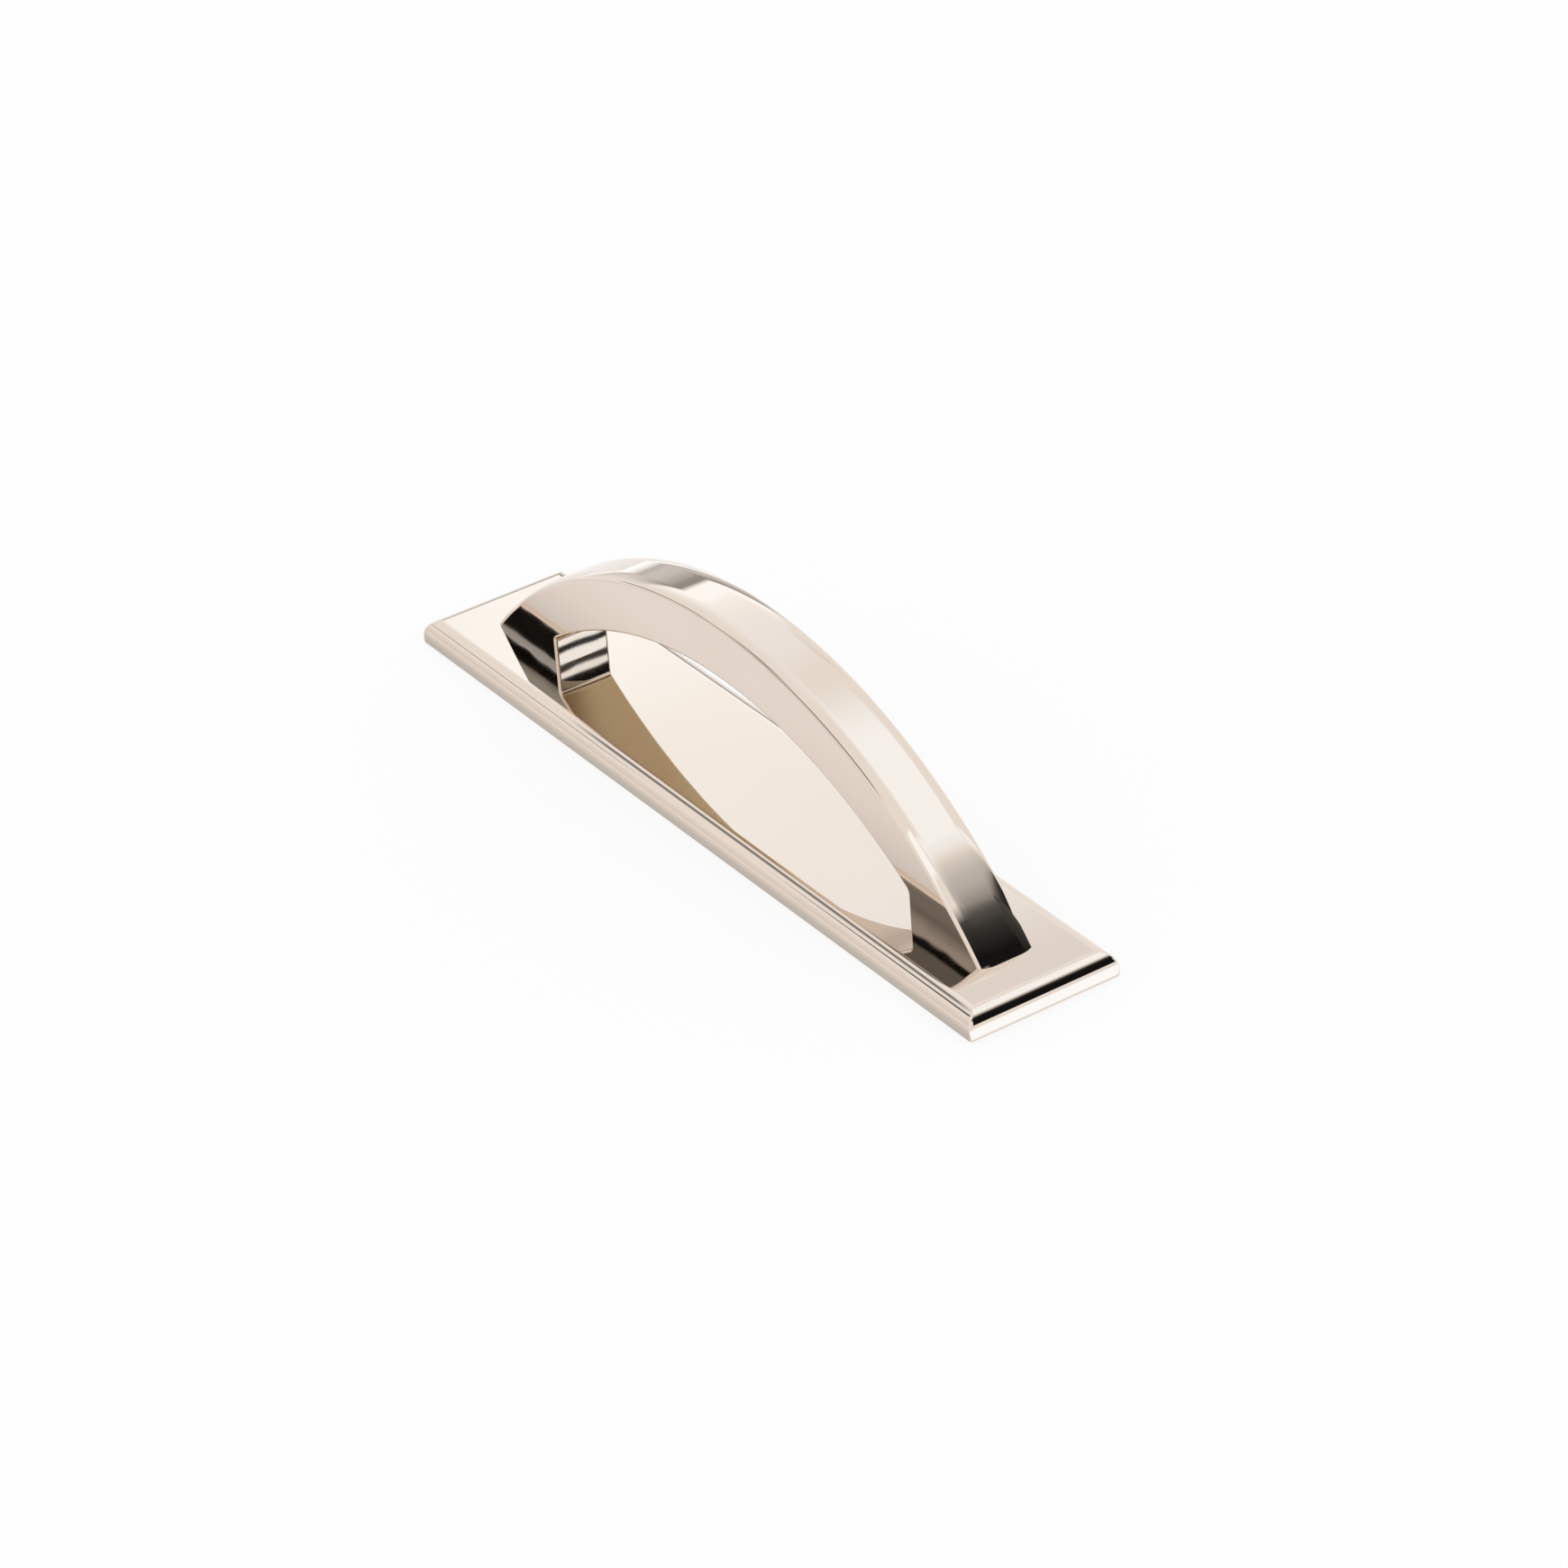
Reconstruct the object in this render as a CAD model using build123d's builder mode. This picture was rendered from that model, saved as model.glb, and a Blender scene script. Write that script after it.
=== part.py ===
from build123d import *
import math
import os

# Cabinet pull: a flat-topped arched grip on two solid feet, cast in one piece with a long backplate.
# Frame: X along the pull, Y across it, Z out of the cabinet front. The origin is the centre of the
# backplate's back face, which lies on the cabinet front.

# Feet: one over each screw, which is where both the grip and the backplate take their lengths from
screw_spacing = 96.0
foot_outer_reach = 8.4
foot_inner_reach = 7.1
foot_face_height = 4.4
foot_corner_radius = 1.0

# Arched grip: its outer face is one arc from foot to foot, and so is its underside
grip_width = 8.4
grip_thickness = 8.4
finger_height = 17.0

# Soft shoulders along the grip's two long top edges, and the rounding of its other edges
shoulder_width = 2.2
shoulder_radius = 5.0
side_edge_radius = 0.6
under_edge_radius = 0.4

# Backplate
plate_end_margin = 7.6
plate_width = 23.4
plate_thickness = 3.6
plate_edge_radius = 2.4
plate_corner_radius = 0.5
plate_back_radius = 0.3

# Tapped hole in each foot, for an M4 screw from inside the cabinet
tap_drill_diameter = 3.3
tap_depth_in_foot = 3.7
drill_point_angle = 118.0

grip_half_width = grip_width / 2
grip_rise = finger_height + grip_thickness
grip_half_span = screw_spacing / 2 + foot_outer_reach
finger_half_span = screw_spacing / 2 - foot_inner_reach
grip_radius = (grip_half_span ** 2 + grip_rise ** 2) / (2 * grip_rise)
crest_z = plate_thickness + grip_rise
grip_centre_z = crest_z - grip_radius

shoulder_start = grip_half_width - shoulder_width
shoulder_drop = shoulder_radius - math.sqrt(shoulder_radius ** 2 - shoulder_width ** 2)
shoulder_foot_radius = grip_radius - shoulder_drop

plate_half_length = grip_half_span + plate_end_margin
plate_half_width = plate_width / 2
foot_root = plate_thickness / 2

tap_radius = tap_drill_diameter / 2
tap_depth = plate_thickness + tap_depth_in_foot
drill_point_height = tap_radius / math.tan(math.radians(drill_point_angle / 2))

# Margin by which a cutting section stands clear of the metal, and the slack for finding edges by place
cut_margin = 1.0
tolerance = 0.01

os.makedirs("parts", exist_ok=True)


def near(value, target):
    return abs(value - target) < tolerance


with BuildPart() as pull_body:
    # Side view of the grip and its feet, drawn from the middle of the plate's top face
    side_plane = Plane(origin=(0, grip_half_width, plate_thickness), x_dir=(1, 0, 0), z_dir=(0, -1, 0))
    with BuildSketch(side_plane) as side_view:
        with BuildLine():
            outer_left = (-grip_half_span, 0)
            outer_right = (grip_half_span, 0)
            inner_left = (-finger_half_span, foot_face_height)
            inner_right = (finger_half_span, foot_face_height)
            ThreePointArc(outer_left, (0, grip_rise), outer_right)
            Polyline(outer_right, (grip_half_span, -foot_root), (finger_half_span, -foot_root), inner_right)
            ThreePointArc(inner_right, (0, finger_height), inner_left)
            Polyline(inner_left, (-finger_half_span, -foot_root), (-grip_half_span, -foot_root), outer_left)
        make_face()
        foot_corners = side_view.vertices().filter_by(lambda vertex: near(vertex.Y, foot_face_height))
        fillet(foot_corners, foot_corner_radius)
    extrude(amount=grip_width)

    # A ring about the arc's own centre takes each long top edge down to a soft shoulder
    with BuildSketch(Plane.YZ):
        with BuildLine():
            shoulder_top = (shoulder_start, crest_z)
            shoulder_foot = (grip_half_width, crest_z - shoulder_drop)
            TangentArc(shoulder_top, shoulder_foot, tangent=(1, 0))
            Polyline(
                shoulder_foot,
                (grip_half_width + cut_margin, crest_z - shoulder_drop),
                (grip_half_width + cut_margin, crest_z + cut_margin),
                (shoulder_start, crest_z + cut_margin),
                shoulder_top,
            )
        make_face()
        mirror(about=Plane.YZ)
    revolve(axis=Axis((0, 0, grip_centre_z), (0, 1, 0)), mode=Mode.SUBTRACT)

    # Rounding of the edges along both sides of the grip, slightly larger on top
    side_edges = pull_body.edges().filter_by(
        lambda edge: all(near(abs(vertex.Y), grip_half_width) for vertex in edge.vertices())
        and not near(edge.center().Y, 0)
    )
    top_edges = side_edges.filter_by(
        lambda edge: edge.geom_type == GeomType.CIRCLE and near(edge.radius, shoulder_foot_radius)
    )
    under_edges = side_edges.filter_by(
        lambda edge: abs(edge.center().X) < finger_half_span + tolerance and edge not in top_edges
    )
    fillet(top_edges, side_edge_radius)
    fillet(under_edges, under_edge_radius)

    # Backplate: rounded-over top edges that meet in a mitre at each softened corner
    with BuildSketch(Plane.XY):
        Rectangle(2 * plate_half_length, plate_width)
    extrude(amount=plate_thickness)
    rim_edges = pull_body.edges().filter_by(
        lambda edge: near(abs(edge.center().X), plate_half_length) or near(abs(edge.center().Y), plate_half_width)
    )
    fillet(rim_edges.filter_by(lambda edge: near(edge.center().Z, plate_thickness)), plate_edge_radius)
    corner_edges = pull_body.edges().filter_by(
        lambda edge: abs(edge.center().X) > plate_half_length - plate_edge_radius
        and abs(edge.center().Y) > plate_half_width - plate_edge_radius
    )
    fillet(corner_edges, plate_corner_radius)
    fillet(pull_body.faces().sort_by(Axis.Z)[0].outer_wire().edges(), plate_back_radius)

    # Blind tapped holes, drilled into the feet from the back, with the drill's point at the bottom
    back_plane = Plane(origin=(0, 0, 0), x_dir=(1, 0, 0), z_dir=(0, 0, -1))
    with Locations(back_plane):
        with GridLocations(screw_spacing, 0, 2, 1):
            Hole(tap_radius, depth=tap_depth)
    with Locations(back_plane.offset(-tap_depth)):
        with GridLocations(screw_spacing, 0, 2, 1):
            Cone(
                bottom_radius=0,
                top_radius=tap_radius,
                height=drill_point_height,
                align=(Align.CENTER, Align.CENTER, Align.MAX),
                mode=Mode.SUBTRACT,
            )

pull_body.part.label = "pull_body"
export_step(pull_body.part, "parts/pull_body.step")
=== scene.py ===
import math

import bpy
from mathutils import Matrix, Vector
from mathutils.geometry import delaunay_2d_cdt


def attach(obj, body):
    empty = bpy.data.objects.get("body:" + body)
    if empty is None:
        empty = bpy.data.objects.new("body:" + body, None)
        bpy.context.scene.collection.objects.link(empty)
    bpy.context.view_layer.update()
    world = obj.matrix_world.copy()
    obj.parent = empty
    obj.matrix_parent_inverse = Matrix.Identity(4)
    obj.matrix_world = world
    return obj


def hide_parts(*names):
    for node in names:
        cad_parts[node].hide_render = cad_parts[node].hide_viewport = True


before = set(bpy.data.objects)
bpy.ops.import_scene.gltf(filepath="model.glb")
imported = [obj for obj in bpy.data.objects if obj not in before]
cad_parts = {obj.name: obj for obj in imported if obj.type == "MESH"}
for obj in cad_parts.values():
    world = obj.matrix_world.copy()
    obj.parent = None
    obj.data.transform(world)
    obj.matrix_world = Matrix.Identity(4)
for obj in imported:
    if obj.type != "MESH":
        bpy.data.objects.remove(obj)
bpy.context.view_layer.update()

MM = 0.001

# Sizes of the pull in millimetres, as in its solid
GRIP_HALF_WIDTH = 4.2
GRIP_HALF_SPAN = 56.4
GRIP_RISE = 25.4
FINGER_HALF_SPAN = 40.9
FINGER_HEIGHT = 17.0
FOOT_FACE_HEIGHT = 4.4
FOOT_CORNER_RADIUS = 1.0
SHOULDER_WIDTH = 2.2
SHOULDER_RADIUS = 5.0
SIDE_EDGE_RADIUS = 0.6
UNDER_EDGE_RADIUS = 0.4
PLATE_HALF_LENGTH = 64.0
PLATE_HALF_WIDTH = 11.7
PLATE_THICKNESS = 3.6
PLATE_EDGE_RADIUS = 2.4
PLATE_CORNER_RADIUS = 0.5
PLATE_BACK_RADIUS = 0.3
SCREW_HALF_SPACING = 48.0
TAP_RADIUS = 1.65
TAP_DEPTH = 7.3
DRILL_POINT_ANGLE = 118.0

# How finely the mesh follows each form
GRIP_STEPS = 240
EDGE_STEPS = 10
SHOULDER_STEPS = 12
RIM_STEPS = 24
CORNER_STEPS = 8
BORE_STEPS = 48

# Points that agree to this many digits of a millimetre are one point of the mesh
POINT_DIGITS = 5

# Settings of the triangulator: keep what lies inside the outline, and join points this near
TRIANGLES_INSIDE = 1
WELD_DISTANCE = 1e-6

# Camera: the photograph's viewing angle, worked out from the pull's edges in the 1740 pixel frame
PHOTO_SIZE = 1740
FOCAL_PIXELS = 7089.3
CAMERA_AZIMUTH = 57.57
CAMERA_ELEVATION = 31.96
CAMERA_ROLL = -4.41
CAMERA_DISTANCE = 840.5 * MM
CAMERA_TARGET = Vector((1.35, 3.75, 1.73)) * MM
SENSOR_WIDTH = 36.0
NEAREST_SEEN = 1.0 * MM
FARTHEST_SEEN = 100.0

WHITE = (1.0, 1.0, 1.0, 1.0)
ROOM_LIGHT = 1.0

# Floor: just below the backplate's back face, so that the two never share a plane. Its whitening is the
# share to which it is seen as plain white, and the rest of it is seen as the room lights it
FLOOR_SIZE = 6.0
FLOOR_DROP = 0.02 * MM
FLOOR_COLOUR = (0.95, 0.95, 0.95, 1.0)
FLOOR_WHITENING = 0.8

# Polished nickel plate, and the dull plate of the grip's underside, whose left half is painted darker and
# browner as painted shade
NICKEL_DARKER = (0.775, 0.675, 0.585, 1.0)
NICKEL_LIGHTER = (0.80, 0.70, 0.61, 1.0)
# Painted shade: a darker, browner colour for the left half of the grip's underside
PAINTED_SHADE_DARKER = (0.55, 0.46, 0.315, 1.0)
PAINTED_SHADE_LIGHTER = (0.61, 0.52, 0.36, 1.0)
POLISHED_ROUGHNESS = (0.006, 0.02)
UNDERSIDE_ROUGHNESS = 0.3

# Where the underside's look begins and where it is full: by the upward part of the surface's normal, by
# height, and for its painted shade by the place along the pull, the last two in millimetres
UNDERSIDE_FACING = (-0.3, -0.7)
UNDERSIDE_HEIGHTS = (7.5, 8.5)
PAINTED_SHADE_REACH = (6.0, -2.0)

# Unevenness of the polish: soft clouds of colour, a fine haze of roughness and low waves in the surface
CLOUD_SCALE = 60.0
CLOUD_DETAIL = 3.0
HAZE_SCALE = 400.0
HAZE_DETAIL = 4.0
WAVE_SCALE = 120.0
WAVE_DETAIL = 1.0
WAVE_HEIGHT = 0.004 * MM

# Light of the studio's cards. 1 is the room's white, less is a grey or black flag, and more is a soft panel
CARD_STRENGTH = 2.0
PANEL = (1.23, 1.32, 1.40)
FADE_PANEL = (1.14, 1.24, 1.34)
BACK_PANEL = (1.16, 1.26, 1.35)
FAR_LEFT_PANEL = (1.03, 1.05, 1.1)
FLOOR_PANEL = (1.24, 1.38, 1.52)
SLAT_PANEL = (1.4, 1.66, 1.95)
LOW_SLAT_PANEL = (1.3, 1.5, 1.75)
DIM_SLAT = (0.36, 0.4, 0.41)
END_GREY = (0.92, 0.92, 0.93)

# Cards on the floor end just outside the backplate
PAST_END = PLATE_HALF_LENGTH + 0.4
PAST_SIDE = PLATE_HALF_WIDTH + 0.05


def unseen(light):
    """A grey at which its card has faded out, so that what is behind the card shows."""
    return (light, light, light, 0.0)


# Studio cards around the pull, in millimetres, which only the metal's reflections see. Their places and
# lights were set from the photograph's reflections. Each card is (name, axis across it, place on that axis,
# sides, softness of its sides, stops, and, where it leans, how far it rises along its width). A stop is a
# height up the card and the light there: a grey, a colour or unseen
CARDS = [
    ("right_flag", "x", 164, (20, 103), (20, 2), [(28, 0.008), (110, 0.01)]),
    ("right_flag_middle", "x", 163, (-120, 140), (50, 2), [
        (102, unseen(0.01)), (109, 0.01), (118, 0.01), (137, 0.03),
    ]),
    ("right_flag_top", "x", 163, (-120, 112), (50, 1), [
        (137, 0.03), (150, 0.05), (160, 0.08), (186, unseen(0.1)),
    ]),
    ("right_fade", "x", 166, (-10, 1700), (45, 400), [
        (64, 0.02), (100, 0.03), (113, 0.04), (127, 0.07), (141, 0.15), (152, 0.28), (158, 0.36),
        (171, 0.48), (185, 0.58), (209, 0.65), (245, 0.83), (270, 1.0), (293, (1.08, 1.16, 1.23)),
        (340, FADE_PANEL), (400, FADE_PANEL),
    ], 0.3),
    ("far_right_flag", "x", 165, (131, 800), (1, 100), [
        (104, unseen(0.02)), (112, 0.02), (150, 0.05), (172, 0.07), (190, 0.09),
    ]),
    ("shoulder_flag", "x", 110, (55, 69.5), (1, 1), [(70, 0.04), (83, 0.06)]),
    ("right_slats", "x", 165, (111, 132), (1, 1), [
        (137, 0.02), (139.8, 0.02), (140.1, SLAT_PANEL), (141.4, SLAT_PANEL), (141.6, 0.01), (142.7, 0.01),
        (142.9, SLAT_PANEL), (145.0, SLAT_PANEL), (145.3, 0.05), (146.6, 0.05), (146.9, LOW_SLAT_PANEL),
        (148.0, LOW_SLAT_PANEL), (148.3, 0.01), (152, 0.01),
    ]),
    ("front_panel", "x", 164, (-520, 3), (60, 20), [(240, 1.0), (270, PANEL), (430, PANEL), (470, 1.0)]),
    ("back_panel", "z", 400, (-170, 170), (150, 1), [
        (60, 1.0), (130, BACK_PANEL), (300, BACK_PANEL), (360, 1.0),
    ]),
    ("left_panel", "x", -250, (20, 280), (100, 60), [
        (1, PANEL), (8, PANEL), (20, 1.0), (30, 0.56), (42, 0.7), (60, 0.68), (80, 0.52), (92, 0.36),
        (102, 0.34), (108, 0.95), (113, PANEL), (146, PANEL), (170, (1.15, 1.19, 1.22)),
        (215, (1.08, 1.12, 1.16)), (240, (1.07, 1.1, 1.15)), (420, FAR_LEFT_PANEL), (700, FAR_LEFT_PANEL),
        (900, 1.0),
    ]),
    ("end_grey", "z", 80, (-58, -26), (24, 1), [(46, 1.0), (54, END_GREY), (84, END_GREY)]),
    ("left_foot_slats", "y", -150, (-330, -250), (6, 6), [
        (160, 1.0), (167.4, 1.0), (168.2, 0.01), (174.9, 0.01), (175.5, (0.42, 0.47, 0.52)),
        (177.2, (0.52, 0.58, 0.65)), (177.6, 0.005), (180.8, 0.005), (181.2, 0.24), (183, DIM_SLAT),
        (190, DIM_SLAT), (191, 1.0),
    ]),
    ("right_foot_slats", "y", -150, (-205, -110), (4, 20), [
        (160, 1.0), (167, 0.9), (168.2, 0.24), (171, 0.24), (173, 0.19), (174.2, 0.28), (176, 0.4),
        (177.7, 0.44), (178.1, 0.005), (180, 0.005), (180.4, 0.15), (290, 0.18), (310, 1.0),
    ]),
    ("near_wall", "y", -500, (-1000, -150), (150, 150), [
        (0, (0.86, 0.83, 0.81)), (130, (0.89, 0.86, 0.84)), (260, (0.94, 0.92, 0.9)), (380, 1.0),
    ]),
    # Painted shadow: a card on the floor before the plate's near side, darkest at its edge, which the metal
    # reflects as the plate's contact shadow
    ("painted_contact_shadow", "z", 0.1, (-500, PAST_END), (200, 1), [
        (-500, (0.88, 0.86, 0.84)), (-60, (0.89, 0.87, 0.85)), (-30, (0.95, 0.94, 0.94)),
        (-24, (0.96, 0.95, 0.95)), (-19, (0.91, 0.89, 0.88)), (-15, (0.82, 0.8, 0.79)),
        (-13, (0.74, 0.73, 0.72)), (-PAST_SIDE, 0.6),
    ]),
    ("near_strip", "z", 31, (-62, 38), (14, 6), [(-19, 1.0), (-16, 0.28), (-10, 0.25), (-8.5, 1.0)]),
    ("end_reflector", "z", 0.1, (PAST_END, 84), (0.1, 8), [
        (-22, 1.0), (-16, FLOOR_PANEL), (26, FLOOR_PANEL), (34, 1.0),
    ]),
]


def steps(start, end, count):
    """count + 1 evenly spaced values from start to end."""
    return [start + (end - start) * step / count for step in range(count + 1)]


class Shell:
    """A closed shell in millimetres that knows the true normal at each corner of each face."""

    def __init__(self):
        self.indices = {}
        self.faces = []
        self.normals = []

    def face(self, corners):
        """corners is a list of (point, normal) in order around the face, seen from outside or inside."""
        loop = []
        for point, normal in corners:
            key = tuple(round(value, POINT_DIGITS) for value in point)
            index = self.indices.setdefault(key, len(self.indices))
            if index not in [seen for seen, _, _ in loop]:
                loop.append((index, Vector(point), Vector(normal)))
        if len(loop) < 3:
            return
        turn = (loop[1][1] - loop[0][1]).cross(loop[-1][1] - loop[0][1])
        if turn.dot(sum((normal for _, _, normal in loop), Vector())) < 0:
            loop.reverse()
        self.faces.append([index for index, _, _ in loop])
        self.normals.extend(normal.normalized() for _, _, normal in loop)

    def grid(self, rows, closed=False):
        """rows is a list of equally long lists of (point, normal). closed joins a row's end to its start."""
        for row, following in zip(rows, rows[1:]):
            last = len(row) if closed else len(row) - 1
            for place in range(last):
                beside = (place + 1) % len(row)
                self.face([row[place], row[beside], following[beside], following[place]])

    def flat(self, outline, holes, normal):
        """A flat face inside an outline and around its holes, each a list of points."""
        loops = [outline] + holes
        points = [point for loop in loops for point in loop]
        across = [axis for axis in range(3) if normal[axis] == 0]
        flattened = [Vector([point[axis] for axis in across]) for point in points]
        rims = []
        for loop in loops:
            first = sum(len(rim) for rim in rims)
            rims.append(list(range(first, first + len(loop))))
        edges = [(start, end) for rim in rims for start, end in zip(rim, rim[1:] + rim[:1])]
        made = delaunay_2d_cdt(flattened, edges, [], TRIANGLES_INSIDE, WELD_DISTANCE)
        _, _, triangles, sources, _, _ = made
        for triangle in triangles:
            corners = [sources[corner][0] for corner in triangle]
            if not any(set(corners) <= set(rim) for rim in rims[1:]):
                self.face([(points[corner], normal) for corner in corners])

    def make(self, name):
        mesh = bpy.data.meshes.new(name)
        mesh.from_pydata([Vector(point) * MM for point in self.indices], [], self.faces)
        mesh.shade_smooth()
        mesh.normals_split_custom_set(self.normals)
        piece = bpy.data.objects.new(name, mesh)
        bpy.context.scene.collection.objects.link(piece)
        return piece


def grip_section():
    """Half of the grip's top, from middle to side, as (drop from the crest, y, angle of the normal)."""
    flat_width = GRIP_HALF_WIDTH - SHOULDER_WIDTH
    edge_y = GRIP_HALF_WIDTH - SIDE_EDGE_RADIUS
    reach = SHOULDER_RADIUS - SIDE_EDGE_RADIUS
    meeting = math.asin((edge_y - flat_width) / reach)
    edge_drop = SHOULDER_RADIUS - reach * math.cos(meeting)
    section = [(0.0, 0.0, 0.0)]
    for angle in steps(0.0, meeting, SHOULDER_STEPS):
        drop = SHOULDER_RADIUS * (1 - math.cos(angle))
        section.append((drop, flat_width + SHOULDER_RADIUS * math.sin(angle), angle))
    for angle in steps(meeting, math.pi / 2, EDGE_STEPS)[1:]:
        drop = edge_drop - SIDE_EDGE_RADIUS * math.cos(angle)
        section.append((drop, edge_y + SIDE_EDGE_RADIUS * math.sin(angle), angle))
    return section


def mirrored(section):
    """A whole section, from one side to the other, from its half."""
    return [(value, -y, -angle) for value, y, angle in reversed(section[1:])] + section


def arc_centre(half_span, rise, foot_height):
    """The radius of an arc through both feet and its crest, and its centre's height above the back."""
    radius = (half_span ** 2 + rise ** 2) / (2 * rise)
    return radius, PLATE_THICKNESS + foot_height + rise - radius


def grip_top():
    """One row along the arch for each point of the section. Every row ends on the plate's top face."""
    radius, centre = arc_centre(GRIP_HALF_SPAN, GRIP_RISE, 0.0)
    rows = []
    for drop, y, angle in mirrored(grip_section()):
        ring = radius - drop
        reach = math.acos((PLATE_THICKNESS - centre) / ring)
        row = []
        for turn in steps(-reach, reach, GRIP_STEPS):
            point = (ring * math.sin(turn), y, centre + ring * math.cos(turn))
            normal = (
                math.sin(turn) * math.cos(angle),
                math.sin(angle),
                math.cos(turn) * math.cos(angle),
            )
            row.append((point, normal))
        rows.append(row)
    return rows


def finger_path():
    """The finger gap's outline from the right foot to the left one, as (x, z, direction into the metal)."""
    radius, centre = arc_centre(FINGER_HALF_SPAN, FINGER_HEIGHT - FOOT_FACE_HEIGHT, FOOT_FACE_HEIGHT)
    corner_x = FINGER_HALF_SPAN - FOOT_CORNER_RADIUS
    corner_z = centre + math.sqrt((radius - FOOT_CORNER_RADIUS) ** 2 - corner_x ** 2)
    meeting = math.atan2(corner_z - centre, corner_x)
    path = [(FINGER_HALF_SPAN, PLATE_THICKNESS, 0.0)]
    for angle in steps(0.0, meeting, EDGE_STEPS):
        x = corner_x + FOOT_CORNER_RADIUS * math.cos(angle)
        path.append((x, corner_z + FOOT_CORNER_RADIUS * math.sin(angle), angle))
    for angle in steps(meeting, math.pi / 2, GRIP_STEPS // 2)[1:]:
        path.append((radius * math.cos(angle), centre + radius * math.sin(angle), angle))
    return path + [(-x, z, math.pi - angle) for x, z, angle in reversed(path[:-1])]


def grip_under():
    """One row along the finger gap for each point across the grip's underside."""
    section = [(0.0, 0.0, 0.0)]
    for angle in steps(0.0, math.pi / 2, EDGE_STEPS):
        depth = UNDER_EDGE_RADIUS * (1 - math.cos(angle))
        y = GRIP_HALF_WIDTH - UNDER_EDGE_RADIUS * (1 - math.sin(angle))
        section.append((depth, y, angle))
    rows = []
    for depth, y, angle in mirrored(section):
        row = []
        for x, z, inward in finger_path():
            point = (x + depth * math.cos(inward), y, z + depth * math.sin(inward))
            normal = (
                -math.cos(inward) * math.cos(angle),
                math.sin(angle),
                -math.sin(inward) * math.cos(angle),
            )
            row.append((point, normal))
        rows.append(row)
    return rows


def plate_ring(inset, z, tilt, corner_radius):
    """A level loop around the plate's rim. tilt is the angle by which its normals lean up from level."""
    corners = [(1, 1, 0.0), (-1, 1, 90.0), (-1, -1, 180.0), (1, -1, 270.0)]
    ring = []
    for side_x, side_y, start in corners:
        middle_x = side_x * (PLATE_HALF_LENGTH - inset - corner_radius)
        middle_y = side_y * (PLATE_HALF_WIDTH - inset - corner_radius)
        for turn in steps(math.radians(start), math.radians(start + 90.0), CORNER_STEPS):
            x = middle_x + corner_radius * math.cos(turn)
            y = middle_y + corner_radius * math.sin(turn)
            normal = (math.cos(tilt) * math.cos(turn), math.cos(tilt) * math.sin(turn), math.sin(tilt))
            ring.append(((x, y, z), normal))
    return ring


def plate_rim():
    """Loops from the edge of the plate's flat top, over its rounded edge and down to its back."""
    rings = []
    for tilt in steps(math.pi / 2, 0.0, RIM_STEPS):
        inset = PLATE_EDGE_RADIUS * (1 - math.cos(tilt))
        z = PLATE_THICKNESS - PLATE_EDGE_RADIUS * (1 - math.sin(tilt))
        rings.append(plate_ring(inset, z, tilt, PLATE_CORNER_RADIUS * math.cos(tilt)))
    for tilt in steps(0.0, -math.pi / 2, EDGE_STEPS):
        inset = PLATE_BACK_RADIUS * (1 - math.cos(tilt))
        z = PLATE_BACK_RADIUS * (1 + math.sin(tilt))
        rings.append(plate_ring(inset, z, tilt, PLATE_CORNER_RADIUS - inset))
    return rings


def bore_rings(x):
    """Loops from a tapped hole's mouth to the foot of its drill point."""
    slope = math.radians(DRILL_POINT_ANGLE / 2)
    point_height = TAP_RADIUS / math.tan(slope)
    profile = [
        (TAP_RADIUS, 0.0, 0.0),
        (TAP_RADIUS, TAP_DEPTH, 0.0),
        (TAP_RADIUS, TAP_DEPTH, slope),
        (0.0, TAP_DEPTH + point_height, slope),
    ]
    turns = steps(0.0, 2 * math.pi, BORE_STEPS)[:-1]
    return [
        [
            (
                (x + radius * math.cos(turn), radius * math.sin(turn), z),
                (-math.cos(turn) * math.cos(tilt), -math.sin(turn) * math.cos(tilt), -math.sin(tilt)),
            )
            for turn in turns
        ]
        for radius, z, tilt in profile
    ]


def points_of(row):
    """The points alone of a list of (point, normal)."""
    return [point for point, _ in row]


def make_pull():
    """The whole pull as one closed shell, with the same surfaces as its solid and a finer mesh."""
    shell = Shell()
    top = grip_top()
    under = grip_under()
    shell.grid(top)
    shell.grid(under)
    for side, outer, inner in ((-1, top[0], under[0]), (1, top[-1], under[-1])):
        shell.flat(points_of(outer) + points_of(inner), [], (0, side, 0))

    rim = plate_rim()
    shell.grid(rim, closed=True)
    footprints = []
    for end in (0, -1):
        inner_end = -1 if end == 0 else 0
        outer_points = [row[end][0] for row in top]
        inner_points = [row[inner_end][0] for row in reversed(under)]
        footprints.append(outer_points + inner_points)
    plate_top = points_of(rim[0])[::CORNER_STEPS + 1]
    shell.flat(plate_top, footprints, (0, 0, 1))

    bores = [bore_rings(side * SCREW_HALF_SPACING) for side in (-1, 1)]
    for bore in bores:
        shell.grid(bore, closed=True)
    shell.flat(points_of(rim[-1]), [points_of(bore[0]) for bore in bores], (0, 0, -1))
    return shell.make("pull_polished")


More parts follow.
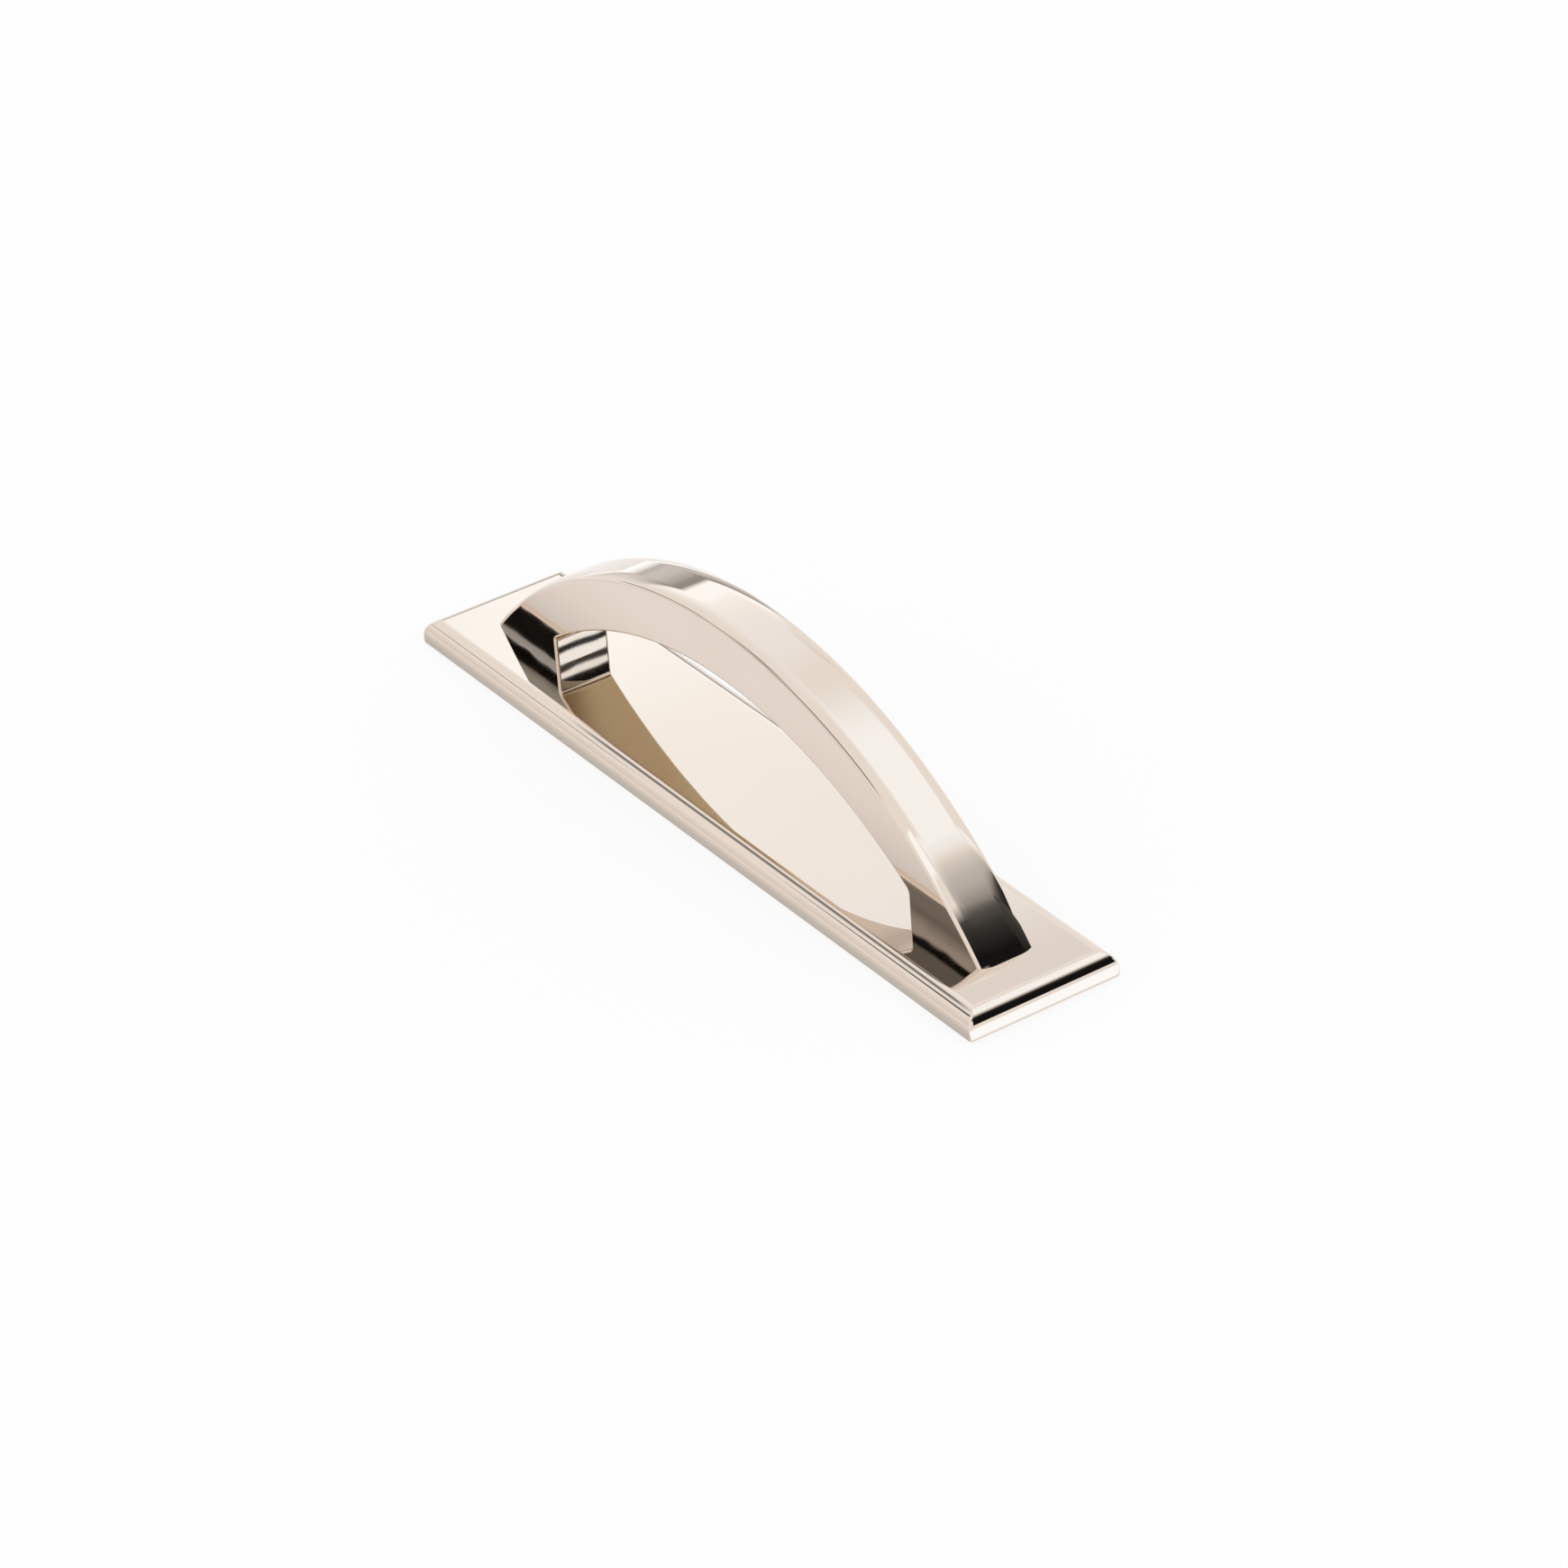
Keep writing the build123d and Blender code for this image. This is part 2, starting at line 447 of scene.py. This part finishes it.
def add_camera():
    """The camera looks at the target from the photograph's side, and leans by the photograph's roll."""
    azimuth = math.radians(CAMERA_AZIMUTH)
    elevation = math.radians(CAMERA_ELEVATION)
    roll = math.radians(CAMERA_ROLL)
    back = Vector((
        math.sin(azimuth) * math.cos(elevation),
        -math.cos(azimuth) * math.cos(elevation),
        math.sin(elevation),
    ))
    level_right = Vector((math.cos(azimuth), math.sin(azimuth), 0.0))
    level_up = back.cross(level_right)
    right = level_right * math.cos(roll) + level_up * math.sin(roll)
    up = level_up * math.cos(roll) - level_right * math.sin(roll)
    data = bpy.data.cameras.new("camera")
    data.sensor_width = SENSOR_WIDTH
    data.lens = SENSOR_WIDTH * FOCAL_PIXELS / PHOTO_SIZE
    data.clip_start = NEAREST_SEEN
    data.clip_end = FARTHEST_SEEN
    camera = bpy.data.objects.new("camera", data)
    bpy.context.scene.collection.objects.link(camera)
    turn = Matrix((right, up, back)).transposed().to_4x4()
    camera.matrix_world = Matrix.Translation(CAMERA_TARGET + back * CAMERA_DISTANCE) @ turn
    bpy.context.scene.camera = camera


def add_node(tree, kind, inputs=None, **settings):
    """A node with its settings, whose inputs are either values or the outputs of other nodes."""
    node = tree.nodes.new(kind)
    for setting, value in settings.items():
        setattr(node, setting, value)
    for socket, value in (inputs or {}).items():
        if isinstance(value, bpy.types.NodeSocket):
            tree.links.new(value, node.inputs[socket])
        else:
            node.inputs[socket].default_value = value
    return node


def fade(tree, value, start, end):
    """A factor that rises smoothly from 0 at start to 1 at end."""
    inputs = {"Value": value, "From Min": start, "From Max": end}
    node = add_node(tree, "ShaderNodeMapRange", inputs, interpolation_type="SMOOTHSTEP")
    return node.outputs["Result"]


def blend(tree, kind, factor, first, second):
    """A mix of two colours or two numbers."""
    ending = {"RGBA": "_Color", "FLOAT": "_Float"}[kind]
    mix = add_node(tree, "ShaderNodeMix", data_type=kind)
    sockets = {socket.identifier: socket for socket in mix.inputs}
    for name, value in (("Factor_Float", factor), ("A" + ending, first), ("B" + ending, second)):
        if isinstance(value, bpy.types.NodeSocket):
            tree.links.new(value, sockets[name])
        else:
            sockets[name].default_value = value
    return next(socket for socket in mix.outputs if socket.identifier == "Result" + ending)


def combine(tree, operation, *values):
    """The result of an operation on numbers or on the outputs of other nodes."""
    return add_node(tree, "ShaderNodeMath", dict(enumerate(values)), operation=operation).outputs["Value"]


def noise(tree, place, scale, detail):
    """A soft random pattern fixed to the pull, from 0 to 1."""
    inputs = {"Vector": place, "Scale": scale, "Detail": detail}
    return add_node(tree, "ShaderNodeTexNoise", inputs).outputs["Fac"]


def nickel_material():
    """Nickel plate, polished slightly unevenly. The grip's underside, which a polishing wheel hardly
    reaches, is dull, and its left half has a darker, browner base colour that is painted shade."""
    material = bpy.data.materials.new("polished_nickel")
    material.use_nodes = True
    tree = material.node_tree
    shader = tree.nodes["Principled BSDF"]
    shader.inputs["Metallic"].default_value = 1.0
    place = add_node(tree, "ShaderNodeTexCoord").outputs
    spot = add_node(tree, "ShaderNodeSeparateXYZ", {"Vector": place["Object"]}).outputs
    facing = add_node(tree, "ShaderNodeSeparateXYZ", {"Vector": place["Normal"]}).outputs["Z"]
    looks_down = fade(tree, facing, *UNDERSIDE_FACING)
    above_feet = fade(tree, spot["Z"], *(level * MM for level in UNDERSIDE_HEIGHTS))
    underside = combine(tree, "MULTIPLY", looks_down, above_feet)
    # Painted shade: the share of the underside's left half that gets the darker, browner colour
    left_half = fade(tree, spot["X"], *(reach * MM for reach in PAINTED_SHADE_REACH))
    painted_shade_share = combine(tree, "MULTIPLY", underside, left_half)

    clouds = noise(tree, place["Object"], CLOUD_SCALE, CLOUD_DETAIL)
    nickel = blend(tree, "RGBA", clouds, NICKEL_DARKER, NICKEL_LIGHTER)
    # Painted shade: the darker, browner colour of the underside's left half
    painted_shade = blend(tree, "RGBA", clouds, PAINTED_SHADE_DARKER, PAINTED_SHADE_LIGHTER)
    tree.links.new(blend(tree, "RGBA", painted_shade_share, nickel, painted_shade), shader.inputs["Base Color"])

    haze = noise(tree, place["Object"], HAZE_SCALE, HAZE_DETAIL)
    polished = blend(tree, "FLOAT", haze, *POLISHED_ROUGHNESS)
    roughness = blend(tree, "FLOAT", underside, polished, UNDERSIDE_ROUGHNESS)
    tree.links.new(roughness, shader.inputs["Roughness"])

    waves = noise(tree, place["Object"], WAVE_SCALE, WAVE_DETAIL)
    bump_inputs = {"Strength": 1.0, "Distance": WAVE_HEIGHT, "Height": waves}
    bump = add_node(tree, "ShaderNodeBump", bump_inputs)
    tree.links.new(bump.outputs["Normal"], shader.inputs["Normal"])
    return material


def add_plane(name, corners):
    """A plane of the studio, which is no part of the pull, and the tree of its material's nodes."""
    mesh = bpy.data.meshes.new(name)
    mesh.from_pydata(corners, [], [(0, 1, 2, 3)])
    plane = bpy.data.objects.new(name, mesh)
    bpy.context.scene.collection.objects.link(plane)
    material = bpy.data.materials.new(name)
    material.use_nodes = True
    mesh.materials.append(material)
    return plane, material.node_tree


def add_floor():
    """A white floor. Rays from the camera, and those the metal sends on, see it most of the way to plain
    white, with the rest left to the light that falls on it and the pull's soft shadow."""
    half = FLOOR_SIZE / 2
    corners = [(x, y, -FLOOR_DROP) for x, y in ((-half, -half), (half, -half), (half, half), (-half, half))]
    _, tree = add_plane("floor", corners)
    shader = tree.nodes["Principled BSDF"]
    shader.inputs["Base Color"].default_value = FLOOR_COLOUR
    shader.inputs["Roughness"].default_value = 1.0
    shader.inputs["Specular IOR Level"].default_value = 0.0
    rays = add_node(tree, "ShaderNodeLightPath").outputs
    seen = combine(tree, "MAXIMUM", rays["Is Camera Ray"], rays["Is Glossy Ray"])
    seen = combine(tree, "MAXIMUM", seen, rays["Is Transmission Ray"])
    white = add_node(tree, "ShaderNodeEmission", {"Color": WHITE, "Strength": ROOM_LIGHT})
    share = combine(tree, "MULTIPLY", seen, FLOOR_WHITENING)
    mix_inputs = {0: share, 1: shader.outputs["BSDF"], 2: white.outputs["Emission"]}
    mix = add_node(tree, "ShaderNodeMixShader", mix_inputs)
    tree.links.new(mix.outputs["Shader"], tree.nodes["Material Output"].inputs["Surface"])


def add_card(name, axis, place, sides, softness, stops, lean=0.0):
    """A card of the studio across an axis, in millimetres, that is only seen as a reflection in the metal.
    Its light fades evenly from stop to stop, and its sides fade into the room. A card that leans is cut so
    that its bottom and top, and its stops with them, rise by lean for each millimetre along its width."""
    across = "xyz".index(axis)
    along = 1 if across == 0 else 0
    up = 1 if across == 2 else 2
    bottom, top = stops[0][0], stops[-1][0]
    corners = []
    for side, height in ((sides[0], bottom), (sides[1], bottom), (sides[1], top), (sides[0], top)):
        corner = [0.0, 0.0, 0.0]
        corner[across] = place * MM
        corner[along] = side * MM
        corner[up] = (height + lean * side) * MM
        corners.append(corner)
    card, tree = add_plane(name, corners)
    card.visible_camera = False
    card.visible_diffuse = False
    card.visible_shadow = False

    coordinates = add_node(tree, "ShaderNodeTexCoord").outputs["Object"]
    split = add_node(tree, "ShaderNodeSeparateXYZ", {"Vector": coordinates}).outputs
    level = combine(tree, "MULTIPLY_ADD", split[along], -lean, split[up])
    heights = {"Value": level, "From Min": bottom * MM, "From Max": top * MM}
    share_up = add_node(tree, "ShaderNodeMapRange", heights).outputs["Result"]
    ramp = add_node(tree, "ShaderNodeValToRGB", {"Fac": share_up})
    elements = ramp.color_ramp.elements
    elements.remove(elements[1])
    for index, (height, light) in enumerate(stops):
        share = (height - bottom) / (top - bottom)
        element = elements[0] if index == 0 else elements.new(share)
        element.position = share
        shades = light if isinstance(light, tuple) else (light, light, light)
        opacity = shades[3] if len(shades) == 4 else 1.0
        element.color = [shade / CARD_STRENGTH for shade in shades[:3]] + [opacity]
    glow_inputs = {"Color": ramp.outputs["Color"], "Strength": CARD_STRENGTH}
    glow = add_node(tree, "ShaderNodeEmission", glow_inputs).outputs["Emission"]
    left = fade(tree, split[along], sides[0] * MM, (sides[0] + softness[0]) * MM)
    right = fade(tree, split[along], sides[1] * MM, (sides[1] - softness[1]) * MM)
    clear = add_node(tree, "ShaderNodeBsdfTransparent").outputs["BSDF"]
    between_sides = combine(tree, "MULTIPLY", left, right)
    shown = combine(tree, "MULTIPLY", between_sides, ramp.outputs["Alpha"])
    mix = add_node(tree, "ShaderNodeMixShader", {0: shown, 1: clear, 2: glow})
    tree.nodes.remove(tree.nodes["Principled BSDF"])
    tree.links.new(mix.outputs["Shader"], tree.nodes["Material Output"].inputs["Surface"])


def set_world():
    """A plain white room, which lights the pull from all around."""
    world = bpy.data.worlds.new("studio")
    bpy.context.scene.world = world
    world.use_nodes = True
    background = world.node_tree.nodes["Background"]
    background.inputs["Color"].default_value = WHITE
    background.inputs["Strength"].default_value = ROOM_LIGHT


pull = make_pull()
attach(pull, "root")
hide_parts("pull_body")
pull.data.materials.append(nickel_material())

add_floor()
set_world()
for card in CARDS:
    add_card(*card)
add_camera()

bpy.context.scene.view_settings.view_transform = "Standard"
